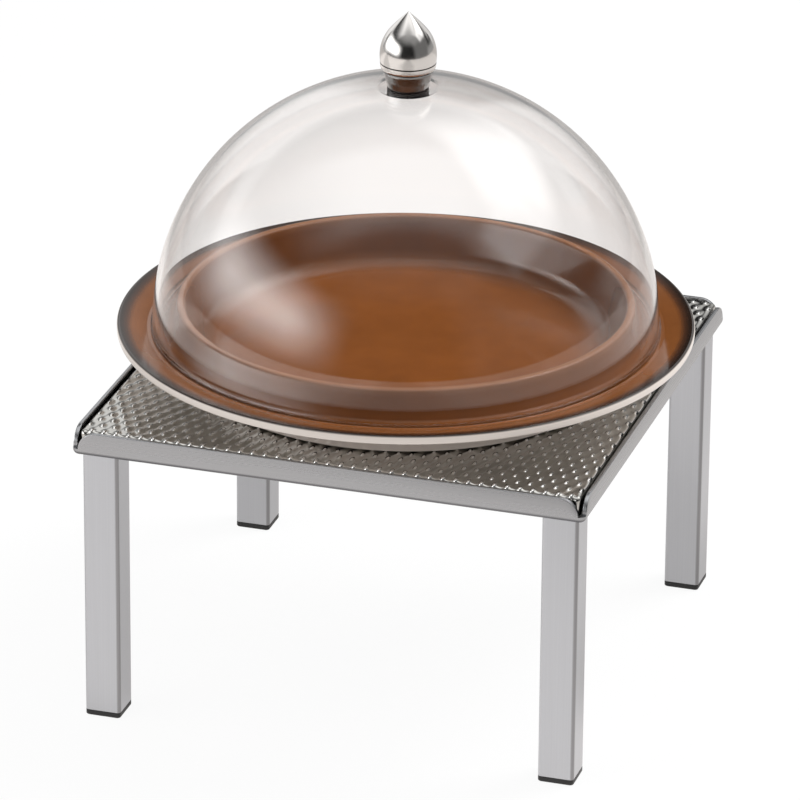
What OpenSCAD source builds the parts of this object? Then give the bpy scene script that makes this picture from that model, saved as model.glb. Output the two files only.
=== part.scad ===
// Round buffet dish under a clear dome cover, on a four-legged steel riser stand.
// Millimetres, +Z up, origin on the floor under the middle of the stand.

/* [Stand] */
// Outside width of the square top frame
frame_w = 305; // [260:1:360]
// Height of the stand's top above the floor
stand_h = 181.7; // [140:0.1:240]
// Thickness of the embossed top sheet
sheet_t = 1; // [0.6:0.1:1.5]
// Outside radius of the sheet's bent-down edges
sheet_bend_r = 3; // [2:0.5:4]
// Outside radius of the sheet's upright corners
sheet_corner_r = 3; // [2.5:0.5:5]

/* [Rails] */
// Height of the rails round the top
rail_h = 14.6; // [13.5:0.1:20]
// Metal thickness of the rails
rail_t = 1.6; // [1:0.1:2.2]
// Open gap between each rail and the sheet's bent edge
rail_gap = 2.4; // [1.8:0.1:4]
// Radius of the rails' rolled lower edge
rail_roll_r = 3.2; // [2.4:0.1:3.4]
// Height of the strip that closes the frame under each open corner
corner_band_h = 4; // [4:0.1:6]
// Rounding of the rails' upper edge
rail_edge_r = 0.5; // [0.2:0.1:0.5]

/* [Legs] */
// Outside width of the square leg tube
leg_w = 21.2; // [16:0.1:25]
// Wall of the leg tube
leg_wall = 1.2; // [1:0.1:1.6]
// Outside corner radius of the leg tube
leg_corner_r = 1.8; // [1.8:0.1:3]
// Height of the foot cap that shows under each leg
foot_h = 3.4; // [2.5:0.1:6]
// Rounding of the foot cap's lower edge
foot_edge_r = 1.2; // [0.5:0.1:2]
// Depth of the foot cap's plug inside the tube
foot_plug_h = 14; // [8:1:20]
// Play of the foot cap's fins in the tube, each side
foot_clear = 0.2; // [0.1:0.05:0.4]

/* [Leg brackets] */
// Thickness of the corner brackets
bracket_t = 2; // [1.5:0.1:3]
// Width of the bracket's welded top flange beside the leg
bracket_w = 22; // [15:1:30]
// Height of the bracket's upright flanges
bracket_h = 12; // [11:0.5:12.5]
// Thread diameter of the screws that hold the legs
leg_screw_d = 4; // [3:0.5:4]
// Length of the leg screws under the head
leg_screw_len = 7; // [5:0.5:8]

/* [Dish] */
// Height of the ledge that carries the cover, above the stand's top
seat_h = 25.1; // [24:0.1:34]
// Width of the rim outside the ledge
rim_w = 17.6; // [12:0.1:30]
// Rise of the rim from the ledge to its outer edge
rim_rise = 3.9; // [2:0.1:6]
// Height of the rim's outer edge
rim_edge_h = 5.4; // [4.5:0.1:7]
// Rounding of the rim's outer edges
rim_edge_r = 1.6; // [0.8:0.1:2]
// Depth of the well's floor below the ledge
well_depth = 12; // [6:0.1:14]
// Height of the wall that stands round the well, above the ledge
wall_h = 17; // [12:0.5:22]
// Ledge left free between the dome and the foot of that wall
wall_gap = 2.8; // [2.2:0.1:6]
// Thickness of that wall at its top
wall_t = 4.5; // [4:0.1:6]
// Spread of the wall's outside from its top down to the ledge
wall_flare = 8; // [2:0.5:8]
// Radial run of the well's inner face, from the wall's top to the floor
well_run = 9; // [7:0.5:12]
// Radius of the sweep from the inner face into the floor
well_fillet = 14; // [8:1:16]
// Rounding of the wall's upper edges
wall_edge_r = 2.2; // [0.5:0.1:2.5]
// Thickness of the dish
dish_t = 6; // [5:0.1:7.5]
// Outside radius of the dish's foot ring
dish_foot_r = 126; // [118:0.5:130]
// Width of the dish's foot ring
dish_foot_w = 8; // [6:0.5:12]
// Rounding of the foot ring's lower edges
foot_ring_r = 1.5; // [0.5:0.1:2.5]
// Rounding between the foot ring and the base inside it
foot_root_r = 2; // [0.5:0.1:3]
// Radius where the foot ring turns out into the underside
under_turn_r = 5; // [2:0.5:8]
// Radius where the underside turns out into the rim
under_rim_r = 8; // [4:0.5:12]
// Radius where the rim rises from the ledge
rim_root_r = 2; // [0.5:0.1:4]
// Radius where the wall rises from the ledge
wall_root_r = 3; // [1:0.1:4]

/* [Cover] */
// Outside radius of the dome
dome_r = 147.8; // [135:0.1:165]
// Wall of the dome
dome_wall = 3; // [2:0.1:4]
// Width of the lip round the dome's lower edge
lip_w = 1; // [0.8:0.1:4]
// Thickness of the lip
lip_t = 2; // [1.6:0.1:4]
// Rounding of the lip's outer edges
lip_edge_r = 0.5; // [0.2:0.1:0.7]
// Room between the lip and the start of the dish's rim
lip_clear = 2; // [0.5:0.1:4]
// Depth of the flat land cut for the knob at the top of the dome
land_drop = 1; // [0.5:0.05:1.2]
// Height of the boss inside the dome under the knob
boss_h = 0.8; // [0.7:0.1:3]

/* [Knob] */
// Largest radius that the knob's upper drop is drawn to
knob_r = 17.2; // [14:0.1:20]
// Height of the knob's upper drop
drop_h = 34.8; // [30:0.1:40]
// Height of the shoulder where the drop turns in to its point
drop_shoulder_h = 16.7; // [15:0.1:19]
// Radius of that shoulder
drop_shoulder_r = 24.2; // [15:0.1:26]
// Radius of the drop at its foot
drop_foot_r = 15.9; // [14:0.1:16.5]
// Rounding of the drop's lower edge
drop_edge_r = 0.6; // [0.2:0.1:1]
// Height of the cup under the drop
cup_h = 10.5; // [8:0.1:15]
// Step from the drop's foot in to the cup's rim
cup_step = 1.2; // [0.2:0.1:2]
// Radius of the cup at its foot
cup_foot_r = 11.9; // [10:0.1:13]
// Height of the upright band at the cup's rim
cup_band_h = 1.2; // [1.2:0.1:4]
// Radius where the cup's side turns up into that band
cup_turn_r = 4; // [2:0.5:4.5]
// Rounding of the cup's edges
cup_edge_r = 0.4; // [0.2:0.1:0.5]
// Radius of the gasket under the knob
gasket_r = 11.9; // [10:0.1:13]
// Thickness of the gasket
gasket_t = 0.5; // [0.4:0.1:3]
// Radius of the rubber washer inside the dome
washer_r = 11.9; // [8:0.1:12.5]
// Thickness of that washer
washer_t = 2.2; // [1:0.1:3]
// Thread diameter of the knob's screw
knob_screw_d = 5; // [4:0.5:6]
// Depth to which the screw reaches into the drop
screw_reach = 10; // [6:0.5:14]
// Free depth of the tapped hole past the screw
tap_room = 2; // [1:0.5:4]

/* [Fits] */
// Play of a screw in the hole that it passes, each side
screw_clear = 0.25; // [0.1:0.05:0.5]
// Play of a thread in its tapped hole, each side
thread_clear = 0.05; // [0.02:0.01:0.1]

/* [Hidden] */
$fn = 96;
eps = 0.5;
dome_fn = 240;
pan_head_r = 0.9;
pan_head_h = 0.6;
rail_d = rail_t + rail_gap;
sheet_w = frame_w - 2 * rail_d;
sheet_in_w = sheet_w - 2 * sheet_t;
sheet_under = stand_h - sheet_t;
bend_in_r = sheet_bend_r - sheet_t;
rail_z = stand_h - rail_h;
rail_len = frame_w - 2 * rail_d;
rail_end_r = rail_h - corner_band_h;
leg_out = sheet_in_w / 2;
leg_in = leg_out - leg_w;
leg_c = leg_out - leg_w / 2;
leg_top = sheet_under - bend_in_r;
leg_bore = leg_w - 2 * leg_wall;
leg_bore_r = leg_corner_r - leg_wall;
fin_w = leg_bore - 2 * foot_clear;
fin_t = 1.2;
fin_depth = 1.4;
fin_count = 3;
plug_w = fin_w - 2 * fin_depth;
bracket_z = sheet_under - bracket_h;
leg_screw_z = bracket_z + (bracket_h - bracket_t) / 2;
leg_head_r = pan_head_r * leg_screw_d;
leg_head_h = pan_head_h * leg_screw_d;

seat_out = dome_r + lip_w + lip_clear;
seat_in = dome_r - dome_wall - lip_clear / 2;
dish_r = seat_out + rim_w;
dish_h = seat_h + rim_rise;
wall_r = seat_in - wall_gap - wall_flare;
floor_r = wall_r - wall_t - well_run;
floor_z = seat_h - well_depth;
base_z = floor_z - dish_t;

cover_z = stand_h + seat_h;
dome_z = cover_z + lip_t;
land_z = dome_z + dome_r - land_drop;
boss_z = dome_z + dome_r - dome_wall - boss_h;
cup_z = land_z + gasket_t;
drop_z = cup_z + cup_h;
cup_r = drop_foot_r - cup_step;
knob_head_r = pan_head_r * knob_screw_d;
knob_head_h = pan_head_h * knob_screw_d;
knob_hole_r = knob_screw_d / 2 + screw_clear;

LEGS = [["front_left", -1, -1], ["front_right", 1, -1], ["back_left", -1, 1], ["back_right", 1, 1]];
RAILS = [["front", 0], ["right", 90], ["back", 180], ["left", 270]];

// Outlines are lists of corners [x, y, radius]. Each corner becomes an arc that is tangent to both sides.
function unit(v) = v / norm(v);
function turn(a) = a > 180 ? a - 360 : a < -180 ? a + 360 : a;
function corner_arc(a, p, b, r, steps = 8) =
    let (
        u = unit(a - p),
        v = unit(b - p),
        half = acos(u * v) / 2,
        centre = p + unit(u + v) * r / sin(half),
        from = p + u * r / tan(half) - centre,
        to = p + v * r / tan(half) - centre,
        start = atan2(from[1], from[0]),
        sweep = turn(atan2(to[1], to[0]) - start)
    )
    [for (i = [0 : steps]) centre + r * [cos(start + sweep * i / steps), sin(start + sweep * i / steps)]];
function xy(p) = [p[0], p[1]];
function rounded(path) =
    let (n = len(path))
    [for (i = [0 : n - 1])
        let (p = path[i], a = path[(i + n - 1) % n], b = path[(i + 1) % n])
        each p[2] == 0 ? [xy(p)] : corner_arc(xy(a), xy(p), xy(b), p[2])];
function box_path(w, r) = [[-w / 2, -w / 2, r], [w / 2, -w / 2, r], [w / 2, w / 2, r], [-w / 2, w / 2, r]];

module rounded_square(w, r) {
    polygon(rounded(box_path(w, r)));
}

// Extrudes a profile drawn in Y and Z along X, centred
module along_x(length) {
    rotate([90, 0, 90])
        translate([0, 0, -length / 2])
            linear_extrude(length) children();
}

// Square block with rounded upright corners and rounded upper edges
module soft_block(w, h, edge_r, corner_r) {
    side = rounded([[-w / 2, 0, 0], [w / 2, 0, 0], [w / 2, h, edge_r], [-w / 2, h, edge_r]]);
    intersection() {
        linear_extrude(h) rounded_square(w, corner_r);
        along_x(w + eps) polygon(side);
        rotate([0, 0, 90]) along_x(w + eps) polygon(side);
    }
}

// Inverted tray: a flat top whose four edges are bent down inside the rails
module top_sheet() {
    color([0.62, 0.61, 0.58])
        translate([0, 0, rail_z])
            difference() {
                soft_block(sheet_w, rail_h, sheet_bend_r, sheet_corner_r);
                translate([0, 0, -eps])
                    soft_block(sheet_in_w, rail_h - sheet_t + eps, bend_in_r, sheet_corner_r - sheet_t);
            }
}

// Section of a rail: an upright web and a rolled foot that reaches in to the sheet's bent edge
function rail_outline(h) = rounded([
    [0, h, rail_edge_r], [0, 0, rail_roll_r], [rail_d, 0, 0], [rail_d, rail_t, 0],
    [rail_t, rail_t, rail_roll_r - rail_t], [rail_t, h, rail_edge_r]
]);

module rail_web() {
    ends = rounded([
        [-rail_len / 2, 0, 0], [rail_len / 2, 0, 0],
        [rail_len / 2, rail_h, rail_end_r], [-rail_len / 2, rail_h, rail_end_r]
    ]);
    intersection() {
        along_x(rail_len) polygon(rail_outline(rail_h));
        translate([0, rail_d + eps, 0]) rotate([90, 0, 0]) linear_extrude(rail_d + 2 * eps) polygon(ends);
    }
}

// The rolled foot carried a quarter turn round the open corner
module corner_band() {
    translate([rail_len / 2, rail_d, 0])
        rotate([0, 0, -90])
            rotate_extrude(angle = 90)
                polygon([for (p = rail_outline(corner_band_h)) [max(0, rail_d - p[0]), p[1]]]);
}

// Rail on the side at a bearing in degrees from the front, with the band of the corner at its right-hand end
module rail(bearing) {
    color([0.73, 0.74, 0.76])
        rotate([0, 0, bearing])
            translate([0, -frame_w / 2, rail_z]) {
                rail_web();
                corner_band();
            }
}

// Puts a piece drawn for the back right corner into the corner with the given signs
module at_corner(sx, sy) {
    mirror([sx < 0 ? 1 : 0, 0, 0])
        mirror([0, sy < 0 ? 1 : 0, 0])
            children();
}

// Square tube, drilled in its two inner walls for the bracket's screws
module leg(sx, sy) {
    color([0.77, 0.77, 0.79])
        at_corner(sx, sy)
            difference() {
                translate([leg_c, leg_c, foot_h])
                    linear_extrude(leg_top - foot_h)
                        difference() {
                            rounded_square(leg_w, leg_corner_r);
                            rounded_square(leg_bore, leg_bore_r);
                        }
                screw_holes(leg_wall + eps);
            }
}

// Places children on both screw axes of the back right corner, from the leg's inner walls, +Z into the leg
module screw_axes() {
    translate([leg_in, leg_c, leg_screw_z]) rotate([0, 90, 0]) children();
    translate([leg_c, leg_in, leg_screw_z]) rotate([-90, 0, 0]) children();
}

module screw_holes(depth) {
    screw_axes()
        translate([0, 0, -bracket_t - eps])
            cylinder(r = leg_screw_d / 2 + screw_clear, h = bracket_t + eps + depth);
}

// Moulded cap: a rounded foot under the tube and a finned plug inside it
module foot(sx, sy) {
    color([0.1, 0.1, 0.1])
        at_corner(sx, sy)
            translate([leg_c, leg_c, foot_h]) {
                mirror([0, 0, 1]) soft_block(leg_w, foot_h, foot_edge_r, leg_corner_r);
                linear_extrude(foot_plug_h) rounded_square(plug_w, leg_bore_r);
                for (i = [1 : fin_count])
                    translate([0, 0, i * foot_plug_h / fin_count - fin_t])
                        linear_extrude(fin_t) rounded_square(fin_w, leg_bore_r);
            }
}

// Folded bracket: a top flange under the sheet, clear of its bends, and two upright flanges against the leg
module bracket(sx, sy) {
    top = bracket_w + leg_w - bend_in_r;
    flange = bracket_t + leg_w - bend_in_r;
    color([0.6, 0.61, 0.63])
        at_corner(sx, sy)
            difference() {
                union() {
                    translate([leg_in - bracket_w, leg_in - bracket_w, sheet_under - bracket_t])
                        cube([top, top, bracket_t]);
                    translate([leg_in - bracket_t, leg_in - bracket_t, bracket_z])
                        cube([flange, flange, bracket_h - eps]);
                }
                translate([leg_in, leg_in, bracket_z - eps])
                    cube([leg_w + eps, leg_w + eps, bracket_h + 2 * eps]);
                screw_holes(eps);
            }
}

// Two pan-head screws at each leg
module leg_screws() {
    color([0.5, 0.5, 0.52])
        for (leg_place = LEGS)
            at_corner(leg_place[1], leg_place[2])
                screw_axes()
                    translate([0, 0, -bracket_t]) {
                        cylinder(d = leg_screw_d, h = leg_screw_len);
                        translate([0, 0, -leg_head_h]) cylinder(r = leg_head_r, h = leg_head_h);
                    }
}

// Turned dish: foot ring, well with a standing wall, flat ledge for the cover and a rising rim
module dish() {
    color([0.45, 0.25, 0.12])
        translate([0, 0, stand_h])
            rotate_extrude()
                polygon(rounded([
                    [0, base_z, 0],
                    [dish_foot_r - dish_foot_w, base_z, foot_root_r],
                    [dish_foot_r - dish_foot_w, 0, foot_ring_r],
                    [dish_foot_r, 0, foot_ring_r],
                    [dish_foot_r, base_z + dish_t / 2, under_turn_r],
                    [seat_in, seat_h - dish_t, under_rim_r],
                    [dish_r, dish_h - rim_edge_h, rim_edge_r],
                    [dish_r, dish_h, rim_edge_r],
                    [seat_out, seat_h, rim_root_r],
                    [wall_r + wall_flare, seat_h, wall_root_r],
                    [wall_r, seat_h + wall_h, wall_edge_r],
                    [wall_r - wall_t, seat_h + wall_h, wall_edge_r],
                    [floor_r, floor_z, well_fillet],
                    [0, floor_z, 0]
                ]));
}

// Hemispherical shell on a flat lip, with a land outside and a boss inside for the knob
module dome() {
    inner_r = dome_r - dome_wall;
    land_r = sqrt(dome_r * dome_r - pow(dome_r - land_drop, 2));
    color([0.9, 0.88, 0.88, 0.35])
        translate([0, 0, dome_z])
            rotate_extrude()
                difference() {
                    union() {
                        difference() {
                            intersection() {
                                circle(r = dome_r, $fn = dome_fn);
                                square([dome_r, dome_r - land_drop]);
                            }
                            circle(r = inner_r, $fn = dome_fn);
                        }
                        translate([0, inner_r - boss_h]) square([land_r, dome_wall + boss_h - land_drop]);
                        translate([0, -lip_t])
                            polygon(rounded([
                                [inner_r, 0, 0], [dome_r + lip_w, 0, lip_edge_r],
                                [dome_r + lip_w, lip_t, lip_edge_r], [inner_r, lip_t, 0]
                            ]));
                    }
                    square([knob_hole_r, dome_r]);
                }
}

module ring(outer_r, inner_r, h) {
    difference() {
        cylinder(r = outer_r, h = h);
        translate([0, 0, -eps]) cylinder(r = inner_r, h = h + 2 * eps);
    }
}

// Thin gasket between the dome's land and the knob
module knob_gasket() {
    color([0.15, 0.12, 0.11])
        translate([0, 0, land_z]) ring(gasket_r, knob_hole_r, gasket_t);
}

// Lower cup of the knob, bored for the screw
module knob_cup() {
    color([0.85, 0.85, 0.86])
        translate([0, 0, cup_z])
            rotate_extrude()
                polygon(rounded([
                    [knob_hole_r, 0, 0], [cup_foot_r, 0, cup_edge_r], [cup_r, cup_h - cup_band_h, cup_turn_r],
                    [cup_r, cup_h, cup_edge_r], [knob_hole_r, cup_h, 0]
                ]));
}

// Pointed upper drop of the knob, tapped from below
module knob_drop() {
    color([0.85, 0.85, 0.86])
        translate([0, 0, drop_z])
            difference() {
                rotate_extrude()
                    polygon(rounded([
                        [0, 0, 0], [drop_foot_r, 0, drop_edge_r],
                        [knob_r, drop_shoulder_h, drop_shoulder_r], [0, drop_h, 0]
                    ]));
                translate([0, 0, -eps])
                    cylinder(r = knob_screw_d / 2 + thread_clear, h = screw_reach + tap_room + eps);
            }
}

// Rubber washer between the screw's head and the boss, seen through the dome
module inner_washer() {
    color([0.15, 0.12, 0.11])
        translate([0, 0, boss_z - washer_t]) ring(washer_r, knob_hole_r, washer_t);
}

// Screw from inside the dome up into the knob's drop
module knob_screw() {
    head_z = boss_z - washer_t;
    color([0.6, 0.6, 0.62]) {
        translate([0, 0, head_z - knob_head_h]) cylinder(r = knob_head_r, h = knob_head_h);
        translate([0, 0, head_z]) cylinder(d = knob_screw_d, h = drop_z + screw_reach - head_z);
    }
}

dish();
top_sheet();
for (side = RAILS)
    rail(side[1]);
for (place = LEGS) {
    leg(place[1], place[2]);
    foot(place[1], place[2]);
    bracket(place[1], place[2]);
}
leg_screws();
knob_drop();
knob_cup();
knob_gasket();
inner_washer();
knob_screw();
dome();
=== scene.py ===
import bmesh
import bpy
import numpy as np
from mathutils import Matrix, Vector


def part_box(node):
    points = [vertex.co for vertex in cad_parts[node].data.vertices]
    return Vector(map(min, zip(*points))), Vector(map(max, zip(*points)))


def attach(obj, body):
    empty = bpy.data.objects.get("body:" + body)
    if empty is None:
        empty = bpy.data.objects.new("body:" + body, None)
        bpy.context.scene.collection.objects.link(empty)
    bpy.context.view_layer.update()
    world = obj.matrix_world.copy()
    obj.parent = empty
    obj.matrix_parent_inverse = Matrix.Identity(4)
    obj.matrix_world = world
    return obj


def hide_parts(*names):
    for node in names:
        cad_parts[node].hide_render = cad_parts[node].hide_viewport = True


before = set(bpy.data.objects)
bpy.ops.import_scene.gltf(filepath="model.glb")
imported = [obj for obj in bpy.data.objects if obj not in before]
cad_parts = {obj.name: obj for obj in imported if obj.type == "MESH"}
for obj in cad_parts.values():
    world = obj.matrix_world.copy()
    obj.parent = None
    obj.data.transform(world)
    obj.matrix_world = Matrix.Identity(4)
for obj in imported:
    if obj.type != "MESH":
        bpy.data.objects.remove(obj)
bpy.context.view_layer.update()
MM = 0.001


# Legs
# Four lengths of square steel tube with rounded corners and a satin, finely brushed skin.
# Each is screwed to a bracket under the top and hidden there by the rails.
def square_ring(half, radius, flat_steps, arc_steps):
    """Points of a rounded square seen from above, anticlockwise and closed on its first point.

    Each side is flat_steps equal steps long and each corner is a quarter circle of arc_steps steps."""
    reach = half - radius
    along = np.linspace(-reach, reach, flat_steps + 1)
    angle = np.linspace(-np.pi / 2, 0, arc_steps + 1)
    side = np.stack([along, np.full_like(along, -half)], 1)
    bend = np.stack([reach + radius * np.cos(angle), -reach + radius * np.sin(angle)], 1)
    quarter = np.concatenate([side, bend[1:-1]])
    spins = np.radians([0, 90, 180, 270])
    c, s = np.cos(spins), np.sin(spins)
    turns = np.stack([np.stack([c, -s], 1), np.stack([s, c], 1)], 1)
    ring = np.einsum("kab,nb->kna", turns, quarter).reshape(-1, 2)
    return np.concatenate([ring, ring[:1]])


def square_skin(low, high, rings):
    """A surface through rounded squares, one above the other, in the middle of a box.

    Each ring is (inset from the box's sides, corner radius, height)."""
    half = (high.x - low.x) / 2
    layers = []
    for inset, corner_radius, z in rings:
        ring = square_ring(half - inset, corner_radius, flat_steps=4, arc_steps=6)
        layers.append(np.column_stack([ring, np.full(len(ring), z)]))
    return np.stack(layers) + np.array([(low.x + high.x) / 2, (low.y + high.y) / 2, 0])


def add_object(name, data):
    """Puts a new object with a mesh, a lamp or a camera into the scene."""
    thing = bpy.data.objects.new(name, data)
    bpy.context.scene.collection.objects.link(thing)
    return thing


def lay_piece(name, surfaces, material, body, nodes, caps=(), sharp=35.0):
    """Joins grids of points (rows, columns, 3) into one smooth piece that rides on a body
    in place of its CAD nodes.

    Each grid cell is a quad, and its UV is the mean length in metres along the rows and columns.
    Caps are single loops of points. Equal points are merged, so seams and poles close."""
    points, faces, uvs, first = [], [], [], 0
    for grid in surfaces:
        rows, cols = grid.shape[:2]
        i, j = np.meshgrid(np.arange(rows - 1), np.arange(cols - 1), indexing="ij")
        a = first + i * cols + j
        faces += np.stack([a, a + 1, a + cols + 1, a + cols], -1).reshape(-1, 4).tolist()
        down = np.linalg.norm(np.diff(grid, axis=0), axis=2).mean(1)
        across = np.linalg.norm(np.diff(grid, axis=1), axis=2).mean(0)
        u = np.concatenate([[0], np.cumsum(down)])
        v = np.concatenate([[0], np.cumsum(across)])
        uvs.append(np.stack(np.meshgrid(u, v, indexing="ij"), -1).reshape(-1, 2))
        points.append(grid.reshape(-1, 3))
        first += rows * cols
    for loop in caps:
        faces.append(list(range(first, first + len(loop))))
        points.append(loop)
        uvs.append(loop[:, :2])
        first += len(loop)
    mesh = bpy.data.meshes.new(name)
    mesh.from_pydata(np.concatenate(points).tolist(), [], faces)
    corner_point = np.zeros(len(mesh.loops), np.int32)
    mesh.loops.foreach_get("vertex_index", corner_point)
    layer = mesh.uv_layers.new(name="length")
    layer.data.foreach_set("uv", np.concatenate(uvs)[corner_point].astype(np.float32).ravel())
    bm = bmesh.new()
    bm.from_mesh(mesh)
    bmesh.ops.remove_doubles(bm, verts=bm.verts, dist=0.001 * MM)
    bmesh.ops.recalc_face_normals(bm, faces=bm.faces)
    bm.to_mesh(mesh)
    bm.free()
    mesh.shade_smooth()
    mesh.set_sharp_from_angle(angle=np.radians(sharp))
    mesh.materials.append(material)
    piece = add_object(name, mesh)
    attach(piece, body)
    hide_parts(*nodes)
    return piece


def new_material(name):
    """A material with one Principled shader; returns it with its node tree and that shader."""
    material = bpy.data.materials.new(name)
    material.use_nodes = True
    tree = material.node_tree
    return material, tree, tree.nodes["Principled BSDF"]


def give(tree, socket, value):
    """Feeds an input socket from another node's socket, or sets it to a plain value."""
    if isinstance(value, bpy.types.NodeSocket):
        tree.links.new(value, socket)
    else:
        socket.default_value = value


def give_all(tree, node, **inputs):
    """Feeds a node's inputs by name."""
    for name, value in inputs.items():
        give(tree, node.inputs[name.replace("_", " ")], value)


def put_node(tree, kind, operation=None, **inputs):
    """Adds a shader node, chooses its operation where it has one, and feeds its inputs by name."""
    node = tree.nodes.new("ShaderNode" + kind)
    if operation:
        node.operation = operation
    give_all(tree, node, **inputs)
    return node


def join(tree, operation, *values):
    """A Math node of one or two sockets or numbers; returns its result socket."""
    node = put_node(tree, "Math", operation)
    for socket, value in zip(node.inputs, values):
        give(tree, socket, value)
    return node.outputs["Value"]


def spread(tree, value, low, high, start=0.0, end=1.0):
    """A straight change of a socket's value: low up to start, high from end on."""
    node = put_node(tree, "MapRange", Value=value, From_Min=start, From_Max=end, To_Min=low, To_Max=high)
    return node.outputs["Result"]


def ramp(tree, value, start, end, low, high):
    """A smooth step of a socket's value: low up to start, high from end on."""
    node = put_node(tree, "MapRange", Value=value, From_Min=start, From_Max=end, To_Min=low, To_Max=high)
    node.interpolation_type = "SMOOTHSTEP"
    return node.outputs["Result"]


def noise(tree, place, **inputs):
    """A cloudy noise laid by a vector socket; returns its value socket."""
    return put_node(tree, "TexNoise", Vector=place, **inputs).outputs["Fac"]


def tones(tree, value, stops):
    """A colour by a socket's value, through stops of (position, colour); returns its socket."""
    node = put_node(tree, "ValToRGB", Fac=value)
    elements = node.color_ramp.elements
    while len(elements) < len(stops):
        elements.new(0.5)
    for element, (position, colour) in zip(elements, stops):
        element.position = position
        element.color = (*colour, 1)
    return node.outputs["Color"]


def blend(tree, share, first, second):
    """A colour between two colours or sockets: first at a share of 0, second at 1."""
    node = put_node(tree, "Mix")
    node.data_type = "RGBA"
    share_in, first_in, second_in, result = node.inputs[0], node.inputs[6], node.inputs[7], node.outputs[2]
    give(tree, share_in, share)
    for socket, colour in ((first_in, first), (second_in, second)):
        give(tree, socket, (*colour, 1) if isinstance(colour, tuple) else colour)
    return result


def relief(tree, height, strength, depth):
    """A Bump node over a height socket; returns its normal socket."""
    return put_node(tree, "Bump", Height=height, Strength=strength, Distance=depth).outputs["Normal"]


def brushed_steel(name, tone, roughness, grain, along, painted_dark_mask, painted_dark_tone):
    """Satin steel: fine streaks that run along the piece shade its tone, roughness and relief.

    along is the streaks' length against their width in U and V. The mask function marks where the tone
    drops to the given dark tone, which paints shade on the rail's roll and a dark reflection on the tube's
    corners."""
    darkest, uneven = 0.94, 0.06
    material, tree, steel = new_material(name)
    place = put_node(tree, "TexCoord").outputs
    stretch = put_node(tree, "Mapping", Vector=place["UV"], Scale=along)
    streaks = noise(tree, stretch.outputs["Vector"], Scale=1.0, Detail=5.0, Roughness=0.6)
    shade = tones(tree, streaks, [(0.3, [darkest * c for c in tone]), (0.7, tone)])
    give_all(tree, steel, Metallic=1.0,
             Base_Color=blend(tree, painted_dark_mask(tree, place), shade, painted_dark_tone),
             Roughness=spread(tree, streaks, roughness - uneven, roughness + uneven),
             Normal=relief(tree, streaks, grain, 0.1 * MM))
    return material


CORNERS = ["front_left", "front_right", "back_left", "back_right"]
LEG_WALL = 1.2 * MM
LEG_CORNER = 1.8 * MM
LEG_EDGE = 0.3 * MM
leg_low, leg_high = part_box("leg_front_left")
leg_flat = leg_high.x - leg_low.x - 2 * LEG_CORNER
leg_quarter = leg_flat + LEG_CORNER * np.pi / 2


def tube_corner_dark_reflection(tree, place):
    """1 on the tube's rounded corners, where a dark reflection of the room is painted into the colour.

    Each corner is the last part of a quarter of the way round."""
    way_round = put_node(tree, "SeparateXYZ", Vector=place["UV"]).outputs["Y"]
    quarter = join(tree, "FRACT", join(tree, "DIVIDE", way_round, leg_quarter))
    corner_start = leg_flat / leg_quarter
    into = ramp(tree, quarter, 0.98 * corner_start, corner_start + 0.03, 0.0, 1.0)
    return join(tree, "MULTIPLY", into, ramp(tree, quarter, 0.955, 0.995, 1.0, 0.0))


# The darker tone on the tubes' rounded corners is a painted dark reflection.
leg_steel = brushed_steel("leg_steel", tone=(0.56, 0.575, 0.605), roughness=0.32, grain=0.10,
                          along=(6.0, 900.0, 1.0), painted_dark_mask=tube_corner_dark_reflection, painted_dark_tone=(0.30, 0.30, 0.31))
for corner in CORNERS:
    low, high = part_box(f"leg_{corner}")
    rings = [(LEG_WALL, low.z), (LEG_EDGE, low.z), (0, low.z + LEG_EDGE), (0, high.z - LEG_EDGE),
             (LEG_EDGE, high.z), (LEG_WALL, high.z), (LEG_WALL, low.z)]
    walls = square_skin(low, high, [(inset, LEG_CORNER - inset, z) for inset, z in rings])
    lay_piece(f"tube_{corner}", [walls], leg_steel, "stand", [f"leg_{corner}"])


# Foot caps
# Black moulded plastic caps: a square foot with a soft lower edge under each tube,
# and a finned plug pushed up inside it.
def foot_plastic():
    """Near-black plastic with the faint grain of a moulding tool and scuffs that are a little duller."""
    material, tree, plastic = new_material("foot_plastic")
    place = put_node(tree, "TexCoord").outputs["Object"]
    grain = noise(tree, place, Scale=900.0, Detail=3.0)
    scuff = noise(tree, place, Scale=120.0, Detail=4.0)
    give_all(tree, plastic,
             Base_Color=tones(tree, scuff, [(0, (0.008, 0.008, 0.008)), (1, (0.022, 0.022, 0.023))]),
             Roughness=spread(tree, scuff, 0.38, 0.6),
             Normal=relief(tree, grain, 0.15, 0.2 * MM))
    return material


FOOT_EDGE = 1.2 * MM
FOOT_EDGE_STEPS = 6
FIN_DEPTH = 1.4 * MM
FIN_THICK = 1.2 * MM
FIN_GAP = 0.2 * MM
FIN_COUNT = 3
fin_inset = LEG_WALL + FIN_GAP
core_inset = fin_inset + FIN_DEPTH
black_plastic = foot_plastic()
for corner in CORNERS:
    low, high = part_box(f"foot_{corner}")
    tube_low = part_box(f"leg_{corner}")[0].z
    half = (high.x - low.x) / 2
    roll = np.radians(np.linspace(0, 90, FOOT_EDGE_STEPS + 1))
    rings = [(half, low.z)]
    rings += [(FOOT_EDGE * (1 - np.sin(t)), low.z + FOOT_EDGE * (1 - np.cos(t))) for t in roll]
    rings += [(0, tube_low), (core_inset, tube_low)]
    for fin in range(1, FIN_COUNT + 1):
        fin_top = tube_low + fin * (high.z - tube_low) / FIN_COUNT
        fin_low = fin_top - FIN_THICK
        rings += [(core_inset, fin_low), (fin_inset, fin_low), (fin_inset, fin_top), (core_inset, fin_top)]
    rings += [(half, high.z)]
    shell = square_skin(low, high, [(inset, min(LEG_CORNER, half - inset), z) for inset, z in rings])
    lay_piece(f"cap_{corner}", [shell], black_plastic, "stand", [f"foot_{corner}"])


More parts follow.
